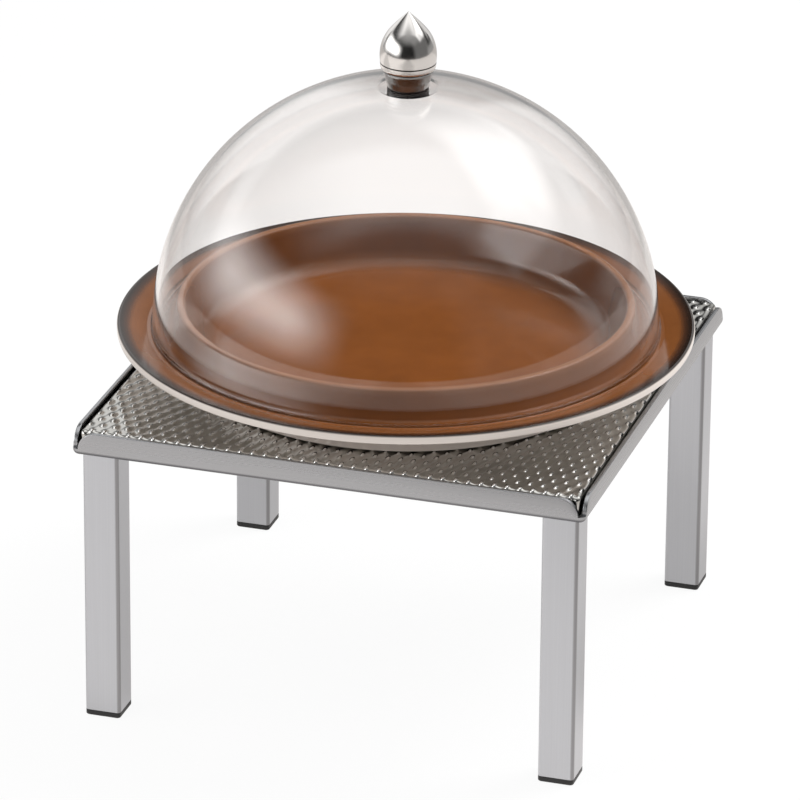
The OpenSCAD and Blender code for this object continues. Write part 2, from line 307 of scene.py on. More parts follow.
# Leg brackets and their screws
# Folded mild-steel brackets welded under the sheet, with plain pan-head screws into each leg.
# They stay as the CAD shapes, with a dull zinc skin of their own.
def zinc_plate(name, tone):
    """Dull zinc: cloudy patches of two close greys with a middling, uneven gloss."""
    material, tree, zinc = new_material(name)
    place = put_node(tree, "TexCoord").outputs["Object"]
    cloud = put_node(tree, "TexVoronoi", Vector=place, Scale=220.0).outputs["Distance"]
    give_all(tree, zinc, Metallic=1.0,
             Base_Color=tones(tree, cloud, [(0, [0.85 * c for c in tone]), (1, tone)]),
             Roughness=spread(tree, cloud, 0.34, 0.5))
    return material


def coat(node, material):
    """Gives a CAD node that is shown as it is a material of its own."""
    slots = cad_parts[node].data.materials
    slots.clear()
    slots.append(material)


bracket_zinc = zinc_plate("bracket_zinc", tone=(0.58, 0.59, 0.61))
screw_zinc = zinc_plate("screw_zinc", tone=(0.66, 0.66, 0.68))
for corner in CORNERS:
    coat(f"bracket_{corner}", bracket_zinc)
coat("leg_screws", screw_zinc)


# Rails
# Four strips of smooth satin steel round the top, each thicker above its foot. The lower edge is rolled
# in to the sheet's bent edge, the upper ends are rounded off, and the rolled foot runs on round each
# open corner.
def round_corners(corners, steps=6):
    """Points of a closed outline whose corners (x, y, radius) become arcs tangent to both sides.

    The arc's centre lies on the corner's bisector at radius / sin(half the corner's angle)."""
    corners = np.asarray(corners, float)
    places, radii = corners[:, :2], corners[:, 2]
    points = []
    for before, at, after, radius in zip(np.roll(places, 1, 0), places, np.roll(places, -1, 0), radii):
        if radius == 0:
            points.append(at[None])
            continue
        u = (before - at) / np.linalg.norm(before - at)
        v = (after - at) / np.linalg.norm(after - at)
        half = np.arccos(np.clip(u @ v, -1, 1)) / 2
        centre = at + (u + v) / np.linalg.norm(u + v) * radius / np.sin(half)
        start = at + u * radius / np.tan(half) - centre
        end = at + v * radius / np.tan(half) - centre
        a = np.arctan2(start[1], start[0])
        sweep = (np.arctan2(end[1], end[0]) - a + np.pi) % (2 * np.pi) - np.pi
        t = a + sweep * np.linspace(0, 1, steps + 1)
        points.append(centre + radius * np.stack([np.cos(t), np.sin(t)], 1))
    return np.concatenate(points)


def closed(section):
    """The outline with its first point repeated, so that a surface drawn from it closes on itself."""
    return np.concatenate([section, section[:1]])


RAIL_FOOT = 1.6 * MM
RAIL_WALL = 2.4 * MM
RAIL_ROLL = 3.2 * MM
RAIL_EDGE = 0.5 * MM
RAIL_INSIDE = 0.8 * MM
BAND_HEIGHT = 4 * MM
rail_low, rail_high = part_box("rail_front")
rail_depth = rail_high.y - rail_low.y
rail_height = rail_high.z - rail_low.z
rail_reach = -rail_low.y
rail_half = rail_reach - rail_depth
rail_end = rail_height - BAND_HEIGHT
rail_flat = rail_half - rail_end
rail_section = closed(round_corners([
    (0, rail_height, RAIL_EDGE), (0, 0, RAIL_ROLL), (rail_depth, 0, 0), (rail_depth, RAIL_FOOT, 0),
    (RAIL_WALL, RAIL_FOOT, RAIL_INSIDE), (RAIL_WALL, rail_height, RAIL_EDGE)]))


def rail_surface(end_steps=18, flat_steps=40, turn_steps=12):
    """The front rail: its section carried along X, then a quarter turn round the corner at its right end.

    Above the band the section's height shrinks over each end as a quarter circle of the end's radius."""
    into, up = rail_section[:, 0], rail_section[:, 1]
    end = rail_end * np.sin(np.radians(np.linspace(90, 0, end_steps + 1)))
    flat = rail_flat * np.linspace(-1, 1, flat_steps + 1)[1:-1]
    straight = np.concatenate([-rail_flat - end, flat, rail_flat + end[::-1]])
    over = np.clip(np.abs(straight) - rail_flat, 0, rail_end)
    squeeze = np.sqrt(np.maximum(rail_end ** 2 - over ** 2, 0)) / rail_end
    height = np.where(up > BAND_HEIGHT, BAND_HEIGHT + (up - BAND_HEIGHT) * squeeze[:, None], up)
    wall = np.stack(np.broadcast_arrays(straight[:, None], into - rail_reach, rail_low.z + height), -1)
    turn = np.radians(np.linspace(0, 90, turn_steps + 1))[:, None]
    radius = rail_depth - into
    band = np.stack(np.broadcast_arrays(
        rail_half + radius * np.sin(turn), -rail_half - radius * np.cos(turn),
        rail_low.z + np.minimum(up, BAND_HEIGHT)), -1)
    return np.concatenate([wall, band[1:]])


def rolled_edge_shade(tree, place):
    """1 on the underside of the roll, painted dark as shade, fading out up the face of the rail."""
    height = put_node(tree, "SeparateXYZ", Vector=place["Object"]).outputs["Z"]
    return ramp(tree, height, rail_low.z + 0.5 * RAIL_ROLL, rail_low.z + RAIL_ROLL, 1.0, 0.0)


# The underside of each rail's roll is painted dark, a painted shade.
rail_steel = brushed_steel("rail_steel", tone=(0.42, 0.425, 0.438), roughness=0.28, grain=0.08,
                           along=(5.0, 900.0, 1.0), painted_dark_mask=rolled_edge_shade, painted_dark_tone=(0.16, 0.16, 0.17))
front_rail = rail_surface()
for side, spin in {"front": 0, "right": 90, "back": 180, "left": 270}.items():
    turned = front_rail @ np.array(Matrix.Rotation(np.radians(spin), 3, "Z")).T
    ends = [turned[0, :-1], turned[-1, :-1]]
    lay_piece(f"strip_{side}", [turned], rail_steel, "stand", [f"rail_{side}"], caps=ends)


# Embossed top
# One sheet of bright steel pressed all over with staggered oval bumps. Its edges are bent down inside
# the rails, so the bumps roll over the bend, and the dish stands on the crests.
SHEET_T = 1 * MM
SHEET_BEND = 3 * MM
BUMP_PITCH = 7.5 * MM
BUMP_ROW = 8.1 * MM
BUMP_DEEP = 0.95 * MM
BUMP_SHARP = 1.8
BUMP_FADE = 4 * MM
TIP_HEIGHT = 0.8 * MM
TIP_FROM = 0.35
GRID_STEPS = 240
FAN_STEPS = 6
sheet_low, sheet_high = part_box("top_sheet")
sheet_half = sheet_high.x
flat_half = sheet_half - SHEET_BEND


def bump_depth(x, y):
    """How far the sheet lies below its crests: the product of a cosine across and a cosine along the sheet.

    Its crests alternate like the squares of a board, so each row of bumps is staggered by half a pitch,
    and a power narrows them. The pattern runs out in a short slope before the left and right edges."""
    wave = np.cos(2 * np.pi * x / BUMP_PITCH) * np.cos(np.pi * y / BUMP_ROW)
    fade = np.clip((sheet_half - np.abs(x)) / BUMP_FADE, 0, 1)
    return BUMP_DEEP * (1 - (0.5 + 0.5 * wave) ** BUMP_SHARP) * fade


line = np.linspace(-flat_half, flat_half, GRID_STEPS + 1)
grid_x, grid_y = np.meshgrid(line, line, indexing="ij")
embossed = np.stack([grid_x, grid_y, sheet_high.z - bump_depth(grid_x, grid_y)], -1)


def bent_edge(inset, bumps, roll_steps=6, drop_steps=10):
    """The sheet's bent rim, inset from its outer skin: each point of the flat's edge is carried outwards
    round a quarter circle and then straight down. Bumps press it in along its own normal."""
    bend = SHEET_BEND - inset
    edge = square_ring(flat_half, 0, GRID_STEPS, FAN_STEPS)
    sides = np.radians([-90, 0, 90, 180])
    fan = np.concatenate([np.zeros(GRID_STEPS + 1), np.linspace(0, 90, FAN_STEPS + 1)[1:-1]])
    angles = closed(np.concatenate([s + np.radians(fan) for s in sides]))
    out = np.stack([np.cos(angles), np.sin(angles)], 1)
    roll = np.radians(np.linspace(0, 90, roll_steps + 1))
    drop = np.linspace(0, sheet_high.z - SHEET_BEND - sheet_low.z, drop_steps + 1)[1:]
    reach = np.concatenate([bend * np.sin(roll), np.full_like(drop, bend)])
    fall = np.concatenate([inset + bend * (1 - np.cos(roll)), SHEET_BEND + drop])
    travel = np.concatenate([SHEET_BEND * roll, SHEET_BEND * np.pi / 2 + drop])
    lean = np.concatenate([roll, np.full_like(drop, np.pi / 2)])
    flat_place = edge + travel[:, None, None] * out
    press = bump_depth(flat_place[..., 0], flat_place[..., 1]) if bumps else np.zeros(flat_place.shape[:2])
    reach = reach[:, None] - press * np.sin(lean)[:, None]
    fall = fall[:, None] + press * np.cos(lean)[:, None]
    return np.concatenate([edge + reach[..., None] * out, (sheet_high.z - fall)[..., None]], -1)


def bright_sheet():
    """Bright rolled steel: a fine haze in tone and gloss, and a steep little tip on the crest of each bump,
    whose colour is painted near white as a highlight.

    The tips follow the sheet's own wave, the product of a cosine across and a cosine along it."""
    material, tree, steel = new_material("sheet_steel")
    place = put_node(tree, "TexCoord").outputs["Object"]
    haze = noise(tree, place, Scale=60.0, Detail=6.0, Roughness=0.65)
    shade = tones(tree, haze, [(0.35, (0.50, 0.49, 0.465)), (0.7, (0.66, 0.65, 0.62))])
    axes = put_node(tree, "SeparateXYZ", Vector=place).outputs
    across = join(tree, "COSINE", join(tree, "MULTIPLY", axes["X"], 2 * np.pi / BUMP_PITCH))
    along = join(tree, "COSINE", join(tree, "MULTIPLY", axes["Y"], np.pi / BUMP_ROW))
    crest = ramp(tree, join(tree, "MULTIPLY", across, along), TIP_FROM, 1.0, 0.0, 1.0)
    # Each bump's crest is painted near white: a painted highlight.
    give_all(tree, steel, Metallic=1.0,
             Base_Color=blend(tree, crest, shade, (0.95, 0.94, 0.92)),
             Roughness=spread(tree, haze, 0.07, 0.14),
             Normal=relief(tree, crest, 1.0, TIP_HEIGHT))
    return material


outer_rim = bent_edge(0, bumps=True)
inner_rim = bent_edge(SHEET_T, bumps=False)
hem = np.stack([outer_rim[-1], inner_rim[-1]])
lay_piece("embossed_sheet", [embossed, outer_rim, inner_rim, hem], bright_sheet(), "stand",
          ["top_sheet"], caps=[inner_rim[0, :-1]], sharp=60.0)


# Dish
# A round stoneware dish on a foot ring: brown glaze inside and over the rim, breaking to near black at
# the edge, and a cream glaze outside. A wall stands round the well, and the cover's lip sits on the flat
# ledge outside it.
def lathe(outline, steps):
    """A turned surface: each outline point (radius, height) carried once round the Z axis."""
    angle = np.linspace(0, 2 * np.pi, steps + 1)
    r, z = outline[:, :1], outline[:, 1:]
    return np.stack(np.broadcast_arrays(r * np.cos(angle), r * np.sin(angle), z), -1)


dish_low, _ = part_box("dish")
dome_low, dome_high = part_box("dome")
DISH_R = 168.4 * MM
DISH_T = 6 * MM
DISH_FOOT = 126 * MM
DISH_FOOT_W = 8 * MM
FOOT_ROOT_R = 2 * MM
FOOT_RING_R = 1.5 * MM
UNDER_TURN_R = 5 * MM
UNDER_RIM_R = 8 * MM
SEAT_OUT = 150.8 * MM
SEAT_IN = 143.8 * MM
SEAT_TURN_R = 2 * MM
WALL_R = 133 * MM
WALL_T = 4.5 * MM
WALL_H = 17 * MM
WALL_FLARE = 8 * MM
WALL_ROOT_R = 3 * MM
WALL_EDGE_R = 2.2 * MM
WELL_RUN = 9 * MM
WELL_DEPTH = 12 * MM
WELL_FILLET = 14 * MM
RIM_EDGE = 1.6 * MM
RIM_EDGE_H = 5.4 * MM
RIM_RISE = 3.9 * MM
seat_z = dome_low.z
floor_z = seat_z - WELL_DEPTH
rim_z = seat_z + RIM_RISE
foot_in = DISH_FOOT - DISH_FOOT_W
dish_outline = round_corners([
    (0, floor_z - DISH_T, 0),
    (foot_in, floor_z - DISH_T, FOOT_ROOT_R),
    (foot_in, dish_low.z, FOOT_RING_R),
    (DISH_FOOT, dish_low.z, FOOT_RING_R),
    (DISH_FOOT, floor_z - DISH_T / 2, UNDER_TURN_R),
    (SEAT_IN, seat_z - DISH_T, UNDER_RIM_R),
    (DISH_R, rim_z - RIM_EDGE_H, RIM_EDGE),
    (DISH_R, rim_z, RIM_EDGE),
    (SEAT_OUT, seat_z, SEAT_TURN_R),
    (WALL_R + WALL_FLARE, seat_z, WALL_ROOT_R),
    (WALL_R, seat_z + WALL_H, WALL_EDGE_R),
    (WALL_R - WALL_T, seat_z + WALL_H, WALL_EDGE_R),
    (WALL_R - WALL_T - WELL_RUN, floor_z, WELL_FILLET),
    (0, floor_z, 0)], steps=10)
GLAZE_LINE_LOW = 1.4 * MM
GLAZE_LINE_HIGH = 0.7 * MM
RIM_FACE_IN = 1.2 * MM
RIM_FACE_OUT = 1.0 * MM
CREAM = (0.69, 0.62, 0.565)
# Glaze colour by share of the rim's radius, with painted light in it: the band from 0.71 to 0.755 is the
# well's inner wall, painted darker as shade, and the stop at 0.775 is the wall's top, painted light as a
# highlight.
GLAZE_AND_PAINTED_LIGHT_BY_RADIUS = [
    (0.0, (0.228, 0.072, 0.015)), (0.66, (0.225, 0.071, 0.015)), (0.71, (0.155, 0.050, 0.011)),
    (0.755, (0.155, 0.050, 0.011)), (0.775, (0.340, 0.150, 0.070)), (0.800, (0.190, 0.062, 0.015)),
    (0.87, (0.190, 0.062, 0.015)), (0.905, (0.205, 0.068, 0.016)), (0.945, (0.190, 0.064, 0.016)),
    (0.965, (0.060, 0.023, 0.010)), (0.982, (0.020, 0.010, 0.006)), (1.0, (0.014, 0.008, 0.005))]


def dish_glaze():
    """Brown glaze by the distance from the axis, darker at the rim's edge, with soft mottling,
    and cream below the rim's edge line. The well's inner wall is painted darker as shade, and the wall's
    top carries a painted highlight line. A clear coat gives the wet shine."""
    material, tree, glaze = new_material("dish_glaze")
    place = put_node(tree, "TexCoord").outputs["Object"]
    axes = put_node(tree, "SeparateXYZ", Vector=place).outputs
    flat = put_node(tree, "CombineXYZ", X=axes["X"], Y=axes["Y"]).outputs["Vector"]
    from_axis = put_node(tree, "VectorMath", "LENGTH", Vector=flat).outputs["Value"]
    rings = tones(tree, spread(tree, from_axis, 0.0, 1.0, end=DISH_R), GLAZE_AND_PAINTED_LIGHT_BY_RADIUS)
    mottle = noise(tree, place, Scale=28.0, Detail=5.0, Roughness=0.6)
    speck = spread(tree, mottle, 0.86, 1.1, start=0.3, end=0.7)
    brown = put_node(tree, "VectorMath", "SCALE", Vector=rings, Scale=speck).outputs["Vector"]
    above_line = spread(tree, axes["Z"], 0.0, 1.0, rim_z - GLAZE_LINE_LOW, rim_z - GLAZE_LINE_HIGH)
    within_rim = spread(tree, from_axis, 1.0, 0.0, DISH_R - RIM_FACE_IN, DISH_R - RIM_FACE_OUT)
    normal = put_node(tree, "NewGeometry").outputs["Normal"]
    upward = put_node(tree, "SeparateXYZ", Vector=normal).outputs["Z"]
    faces_up = spread(tree, upward, 0.0, 1.0, start=-0.05, end=0.05)
    inside = join(tree, "MAXIMUM", join(tree, "MULTIPLY", within_rim, faces_up), above_line)
    give_all(tree, glaze, Roughness=0.18, Specular_IOR_Level=0.3, Coat_Weight=0.4, Coat_Roughness=0.04,
             Base_Color=blend(tree, inside, CREAM, brown),
             Normal=relief(tree, mottle, 0.04, 0.5 * MM))
    return material


lay_piece("dish_body", [lathe(dish_outline, steps=256)], dish_glaze(), "dish",
          ["dish"], sharp=50.0)


# Dome
# A clear moulded hemisphere, three millimetres thick, with a small lip turned out at its lower edge
# and a flat land at the top that the knob is clamped to. The plastic has a faint warm tint.
DOME_WALL = 3 * MM
LIP_T = 2 * MM
LIP_EDGE = 0.5 * MM
LIP_INSIDE = 0.3 * MM
LIP_START = np.radians(0.4)
LAND_DROP = 1 * MM
BOSS_H = 0.8 * MM
HOLE_R = 2.75 * MM
lip_r = dome_high.x
dome_z = dome_low.z + LIP_T
dome_r = dome_high.z + LAND_DROP - dome_z
inner_r = dome_r - DOME_WALL
land_r = np.sqrt(dome_r ** 2 - (dome_r - LAND_DROP) ** 2)
land_z = dome_r - LAND_DROP
boss_z = inner_r - BOSS_H


def dome_outline(arc_points=72):
    """The closed section of the shell: land, outer quarter circle, lip, inner quarter circle and boss.

    The boss under the land has the land's radius."""
    outer = np.linspace(np.arccos(land_r / dome_r), LIP_START, arc_points)
    inner = np.linspace(0, np.arccos(land_r / inner_r), arc_points)
    lip = round_corners([
        (dome_r, LIP_T, 0), (lip_r, LIP_T, LIP_EDGE), (lip_r, 0, LIP_EDGE), (inner_r, 0, LIP_INSIDE),
        (inner_r, LIP_T, 0)])
    return np.concatenate([
        [[HOLE_R, land_z]],
        np.stack([dome_r * np.cos(outer), dome_r * np.sin(outer)], 1),
        lip[1:-1] - [0, LIP_T],
        np.stack([inner_r * np.cos(inner), inner_r * np.sin(inner)], 1),
        [[land_r, boss_z], [HOLE_R, boss_z], [HOLE_R, land_z]]]) + [0, dome_z]


def clear_plastic():
    """Clear plastic with the index of acrylic: a faint warm tint, and slow ripples left by the mould."""
    material, tree, clear = new_material("clear_shell")
    place = put_node(tree, "TexCoord").outputs["Object"]
    ripple = noise(tree, place, Scale=14.0, Detail=2.0)
    give_all(tree, clear, Roughness=0.0, IOR=1.49, Transmission_Weight=1.0,
             Base_Color=tones(tree, ripple, [(0, (0.990, 0.976, 0.966)), (1, (0.998, 0.986, 0.978))]),
             Normal=relief(tree, ripple, 0.05, 0.4 * MM))
    return material


dome_shell = lay_piece("dome_shell", [lathe(dome_outline(), steps=256)], clear_plastic(), "cover",
                       ["dome"], sharp=40.0)
dome_shell.visible_shadow = False


# Knob
# A chromed casting in two turned parts: a pointed drop screwed down on a cup, with a dark gasket under
# the cup. A screw and a washer inside the dome hold it.
# A dark line painted along each seam stands for the shade in its crease.
SEAM_DARK = 0.2 * MM
SEAM_CLEAR = 0.55 * MM
SEAM_SHADE_TONE = (0.05, 0.04, 0.035)


def polished_chrome(name, tone, dullest, seam):
    """Mirror chrome in a tone, with a barely uneven polish up to a greatest dullness.

    A fine line at a seam's height is painted dark, a painted shade in the crease."""
    material, tree, chrome = new_material(name)
    place = put_node(tree, "TexCoord").outputs["Object"]
    height = put_node(tree, "SeparateXYZ", Vector=place).outputs["Z"]
    off = join(tree, "ABSOLUTE", join(tree, "SUBTRACT", height, seam))
    unshaded = ramp(tree, off, SEAM_DARK, SEAM_CLEAR, 0.0, 1.0)
    polish = noise(tree, place, Scale=90.0, Detail=4.0)
    give_all(tree, chrome, Metallic=1.0,
             Base_Color=blend(tree, unshaded, SEAM_SHADE_TONE, tone),
             Roughness=spread(tree, polish, 0.5 * dullest, dullest))
    return material


def gasket_rubber():
    """Dark brown-black rubber with a soft, faintly grained skin."""
    material, tree, rubber = new_material("gasket_rubber")
    place = put_node(tree, "TexCoord").outputs["Object"]
    grain = noise(tree, place, Scale=1400.0, Detail=3.0)
    give_all(tree, rubber, Roughness=0.42,
             Base_Color=tones(tree, grain, [(0, (0.018, 0.012, 0.010)), (1, (0.040, 0.028, 0.024))]),
             Normal=relief(tree, grain, 0.1, 0.2 * MM))
    return material


RING_EDGE = 0.2 * MM
WASHER_EDGE = 0.4 * MM
CUP_FOOT = 11.9 * MM
CUP_BAND = 1.2 * MM
CUP_TURN = 4 * MM
CUP_EDGE = 0.4 * MM
DROP_FOOT = 15.9 * MM
DROP_WIDE = 17.2 * MM
DROP_SHOULDER = 16.7 * MM
DROP_SHOULDER_R = 24.2 * MM
DROP_ROLL = 2 * MM
SWELL = 0.5 * MM
SWELL_AT = 0.62
SWELL_R = 100 * MM
LINE_UP = 4.2 * MM
LINE_HALF = 0.35 * MM
LINE_DEEP = 0.5 * MM
LINE_EDGE = 0.12 * MM
TIP_SHARES = [0.35, 0.65, 0.85, 0.95, 0.985]
gasket_low, gasket_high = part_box("knob_gasket")
gasket_section = round_corners([
    (HOLE_R, gasket_low.z, 0), (gasket_high.x, gasket_low.z, RING_EDGE),
    (gasket_high.x, gasket_high.z, RING_EDGE), (HOLE_R, gasket_high.z, 0)])
washer_low, washer_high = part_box("inner_washer")
washer_section = round_corners([
    (HOLE_R, washer_low.z, RING_EDGE), (washer_high.x, washer_low.z, WASHER_EDGE),
    (washer_high.x, washer_high.z, RING_EDGE), (HOLE_R, washer_high.z, RING_EDGE)])
cup_low, cup_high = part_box("knob_cup")
cup_section = round_corners([
    (HOLE_R, cup_low.z, 0), (CUP_FOOT, cup_low.z, CUP_EDGE), (cup_high.x, cup_high.z - CUP_BAND, CUP_TURN),
    (cup_high.x, cup_high.z, CUP_EDGE), (HOLE_R, cup_high.z, 0)], steps=10)
drop_low, drop_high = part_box("knob_drop")
line_z = drop_low.z + LINE_UP
line_r = DROP_FOOT + (DROP_WIDE - DROP_FOOT) * LINE_UP / DROP_SHOULDER
cone_h = drop_high.z - drop_low.z - DROP_SHOULDER
cone_side = np.hypot(DROP_WIDE, cone_h)
swell_r = (1 - SWELL_AT) * DROP_WIDE + SWELL * cone_h / cone_side
swell_z = drop_high.z - (1 - SWELL_AT) * cone_h + SWELL * DROP_WIDE / cone_side
drop_section = round_corners([
    (0, drop_low.z, 0), (DROP_FOOT, drop_low.z, DROP_ROLL), (line_r, line_z - LINE_HALF, LINE_EDGE),
    (line_r - LINE_DEEP, line_z, LINE_EDGE), (line_r, line_z + LINE_HALF, LINE_EDGE),
    (DROP_WIDE, drop_low.z + DROP_SHOULDER, DROP_SHOULDER_R),
    (swell_r, swell_z, SWELL_R), (0, drop_high.z, 0)], steps=28)
to_tip = np.outer(TIP_SHARES, drop_section[-1] - drop_section[-2])
drop_section = np.insert(drop_section, -1, drop_section[-2] + to_tip, axis=0)

dark_rubber = gasket_rubber()
knob_chrome = polished_chrome("knob_chrome", tone=(0.80, 0.775, 0.75), dullest=0.18, seam=line_z)
# The cup is the same chrome as the drop in a darker tone, which paints in the dark reflection it shows.
cup_chrome_dark_reflection = polished_chrome("cup_chrome_dark_reflection", tone=(0.33, 0.335, 0.335), dullest=0.24, seam=cup_high.z)
lay_piece("gasket_ring", [lathe(closed(gasket_section), steps=96)], dark_rubber, "cover",
          ["knob_gasket"])
lay_piece("cup_turned", [lathe(closed(cup_section), steps=128)], cup_chrome_dark_reflection, "cover",
          ["knob_cup"])
lay_piece("drop_turned", [lathe(drop_section, steps=128)], knob_chrome, "cover",
          ["knob_drop"])
lay_piece("washer_ring", [lathe(closed(washer_section), steps=96)], dark_rubber, "cover",
          ["inner_washer"])
coat("knob_screw", screw_zinc)


# Studio
# A round sheet of pale paper, two soft lamps and a plain white surround, as for a shop photograph.
# Metal and glaze reflect the paper, two cards behind the object, and a dark room with a bright strip,
# windows and a pale ceiling.
VIEW_AZIMUTH = 0.29987
VIEW_ELEVATION = 0.41467
VIEW_ROLL = 0.00852
VIEW_PLACE = Vector((1.05622, -3.42637, 1.73702))
VIEW_DEPTH = 100
FOCAL_PIXELS = 6687.25
FRAME_PIXELS = 800
SENSOR = 36.0


def aim(azimuth, elevation, roll):
    """Right, up and backward axes of a camera that looks at the object from an azimuth and elevation."""
    ca, sa, ce, se = np.cos(azimuth), np.sin(azimuth), np.cos(elevation), np.sin(elevation)
    right = np.array([ca, sa, 0])
    back = np.array([sa * ce, -ca * ce, se])
    up = np.cross(back, right)
    return np.cos(roll) * right + np.sin(roll) * up, np.cos(roll) * up - np.sin(roll) * right, back


lens = bpy.data.cameras.new("camera")
lens.sensor_width = SENSOR
lens.lens = SENSOR * FOCAL_PIXELS / FRAME_PIXELS
lens.clip_end = VIEW_DEPTH
camera = add_object("camera", lens)
camera_turn = Matrix(aim(VIEW_AZIMUTH, VIEW_ELEVATION, VIEW_ROLL)).transposed().to_4x4()
camera.matrix_world = Matrix.Translation(VIEW_PLACE) @ camera_turn
bpy.context.scene.camera = camera
rightward, _, nearer = aim(VIEW_AZIMUTH, 0, 0)


def sight(tree):
    """Two sockets: 1 for camera, glossy and transmission rays that no matt surface has scattered,
    and 1 after a reflection."""
    path = put_node(tree, "LightPath").outputs
    seen = path["Is Camera Ray"]
    for kind in ("Is Glossy Ray", "Is Transmission Ray"):
        seen = join(tree, "MAXIMUM", seen, path[kind])
    scattered = join(tree, "MINIMUM", path["Diffuse Depth"], 1.0)
    unscattered = join(tree, "MAXIMUM", join(tree, "SUBTRACT", seen, scattered), 0.0)
    return unscattered, join(tree, "MINIMUM", path["Glossy Depth"], 1.0)


def dot(tree, vector, axis):
    """The part of a vector socket along a fixed axis; returns its socket."""
    node = put_node(tree, "VectorMath", "DOT_PRODUCT", Vector=vector)
    node.inputs[1].default_value = axis
    return node.outputs["Value"]


def show_mix(tree, share, first, second):
    """Makes a material's surface of two shaders: first at a share of 0, second at 1."""
    node = put_node(tree, "MixShader")
    for socket, value in zip(node.inputs, (share, first, second)):
        give(tree, socket, value)
    tree.links.new(node.outputs["Shader"], tree.nodes["Material Output"].inputs["Surface"])


FLOOR_RADIUS = 3.2
FLOOR_STEP = 3
PAPER_GREY = 0.86
PAPER_FIBRE = 0.01
PAPER_WHITE = 0.93
TABLE_TINT = (1, 0.955, 0.925)
# Smooth steps (start, end, low, high) of the way nearer, aside or to the right, in metres
FAR_DIM = (-1.0, -0.68, 0.45, 0.0)
NEAR_DIM = (0.45, 0.70, 0.0, 1.0)
NEAR_MIDDLE = (0.15, 0.70, 0.45, 0.0)
RIGHT_DIM = (0.15, 0.45, 0.0, 0.25)
# The three steps below paint the stand's shadow into the glow that reflections see.
UNDER_FRONT = (0.06, 0.14, 0.30, 0.0)
UNDER_BACK = (-0.46, -0.34, 0.0, 1.0)
UNDER_RIGHT = (0.19, 0.29, 1.0, 0.0)


def floor_paper():
    """White paper. The eye sees it nearly white with a soft shadow, straight and through the clear dome.

    In reflections it glows as a warm white table whose glow dims at its far edge, in front, to the right
    and under the stand, as painted shade; the dim under the stand is a painted shadow of the stand. Each
    dim part is a product of smooth steps, and the deepest counts."""
    material, tree, paper = new_material("floor_paper")
    place = put_node(tree, "TexCoord").outputs["Object"]
    fibre = noise(tree, place, Scale=300.0, Detail=3.0)
    give_all(tree, paper, Roughness=0.9, Base_Color=tones(tree, fibre, [
        (0, [PAPER_GREY - PAPER_FIBRE] * 3), (1, [PAPER_GREY + PAPER_FIBRE] * 3)]))
    away = put_node(tree, "VectorMath", "LENGTH", Vector=place).outputs["Value"]
    white_share = ramp(tree, away, 0.25 * FLOOR_RADIUS, 0.95 * FLOOR_RADIUS, PAPER_WHITE, 1.0)
    seen, mirrored = sight(tree)
    to_right, to_near = dot(tree, place, rightward), dot(tree, place, nearer)
    aside = join(tree, "ABSOLUTE", to_right)
    dim = 0.0
    for steps in (
            [(to_near, FAR_DIM)],
            [(to_near, NEAR_DIM), (aside, NEAR_MIDDLE)],
            [(to_right, RIGHT_DIM)],
            [(to_near, UNDER_FRONT), (to_near, UNDER_BACK), (to_right, UNDER_RIGHT)]):
        part = 1.0
        for way, step in steps:
            part = join(tree, "MULTIPLY", part, ramp(tree, way, *step))
        dim = join(tree, "MAXIMUM", dim, part)
    glow = put_node(tree, "Emission", Color=blend(tree, mirrored, (1, 1, 1), TABLE_TINT),
                    Strength=join(tree, "SUBTRACT", 1.0, join(tree, "MULTIPLY", mirrored, dim)))
    glow_share = join(tree, "MULTIPLY", white_share, seen)
    show_mix(tree, glow_share, paper.outputs["BSDF"], glow.outputs["Emission"])
    material.cycles.emission_sampling = "NONE"
    return material


floor_mesh = bpy.data.meshes.new("floor")
floor_turn = np.radians(np.arange(0, 360, FLOOR_STEP))
floor_rim = FLOOR_RADIUS * np.stack([np.cos(floor_turn), np.sin(floor_turn), np.zeros_like(floor_turn)], 1)
floor_mesh.from_pydata(floor_rim.tolist(), [], [list(range(len(floor_rim)))])
floor_mesh.materials.append(floor_paper())
floor = add_object("floor", floor_mesh)

CARD_BEHIND = 0.50
CARD_HIGH = 0.75
CARD_FOOT = (0.28, 0.60)


def reflector(name, inner, outer, fade, glow):
    """An upright card behind the object that only reflections see, clear at its foot and at its inner end.

    It runs from inner to outer, in metres to the right, and fades in over a share of that length."""
    ends = [inner * rightward - CARD_BEHIND * nearer, outer * rightward - CARD_BEHIND * nearer]
    lift = np.array([0, 0, CARD_HIGH])
    corners = [ends[0], ends[1], ends[1] + lift, ends[0] + lift]
    mesh = bpy.data.meshes.new(name)
    mesh.from_pydata([c.tolist() for c in corners], [], [(0, 1, 2, 3)])
    layer = mesh.uv_layers.new(name="share")
    layer.data.foreach_set("uv", np.array([0, 0, 1, 0, 1, 1, 0, 1], np.float32))
    material, tree, _ = new_material(name)
    place = put_node(tree, "TexCoord").outputs["UV"]
    axes = put_node(tree, "SeparateXYZ", Vector=place).outputs
    share = join(tree, "MULTIPLY", ramp(tree, axes["X"], 0.0, fade, 0.0, 1.0),
                 ramp(tree, axes["Y"], *CARD_FOOT, 0.0, 1.0))
    clear = put_node(tree, "BsdfTransparent").outputs["BSDF"]
    card = put_node(tree, "Emission", Strength=glow).outputs["Emission"]
    show_mix(tree, join(tree, "MULTIPLY", sight(tree)[1], share), clear, card)
    material.cycles.emission_sampling = "NONE"
    mesh.materials.append(material)
    stand_by = add_object(name, mesh)
    stand_by.visible_camera = False
    stand_by.visible_diffuse = False
    stand_by.visible_shadow = False


reflector("left_card", inner=-0.03, outer=-0.60, fade=0.25, glow=1.0)
reflector("right_card", inner=0.16, outer=0.60, fade=0.14, glow=0.8)

LAMP_TARGET = Vector((0, 0, 0.2))
LAMP_DISTANCE = 2.0


